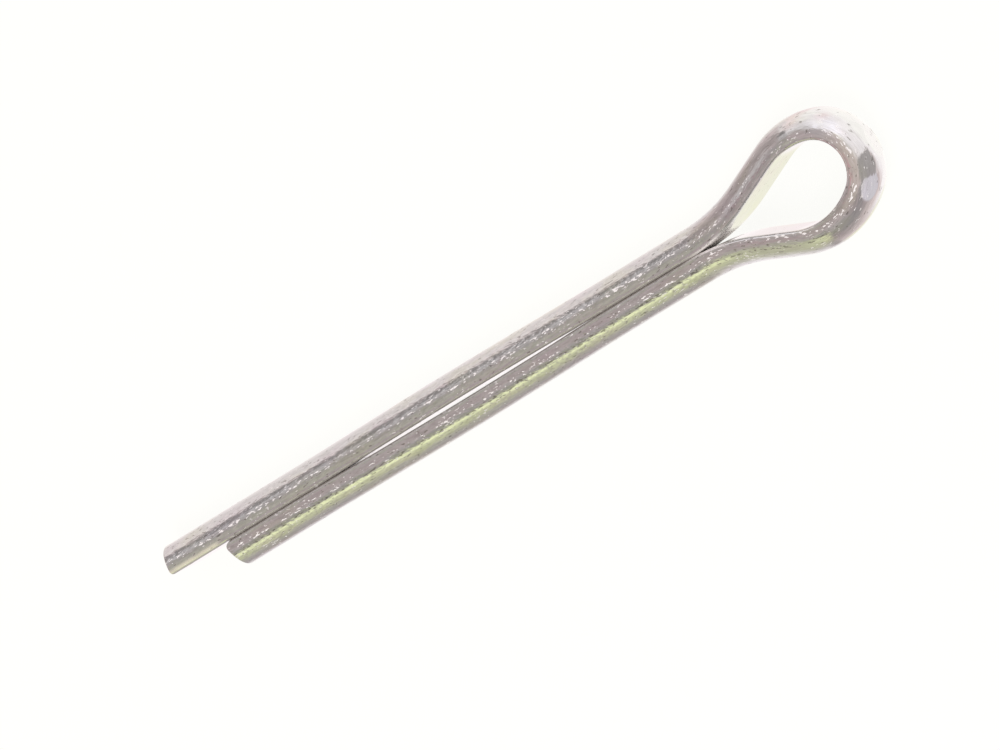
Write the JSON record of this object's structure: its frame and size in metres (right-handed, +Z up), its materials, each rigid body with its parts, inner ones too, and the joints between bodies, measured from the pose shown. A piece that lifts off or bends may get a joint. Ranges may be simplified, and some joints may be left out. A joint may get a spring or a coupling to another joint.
{
  "type": "cotter pin",
  "caption": "Split cotter pin bent from half-round steel wire, with an open eye and legs of unequal length that close into a round shank. It lies flat.",
  "frame": {"origin": "on the axis of the closed shank, in the crotch, where the legs start to part into the eye", "axes": "+X along the shank from the eye to the tips, +Y across the legs from the long one to the short one, +Z up, square to the plane of the eye"},
  "size_m": [0.0568, 0.0085, 0.0036],
  "materials": {
    "plated_steel": "bright zinc plate over drawn wire, with fine lines along the wire and a faint rainbow tint"
  },
  "bodies": {
    "root": {"cotter_pin": "plated_steel"}
  },
  "joints": []
}
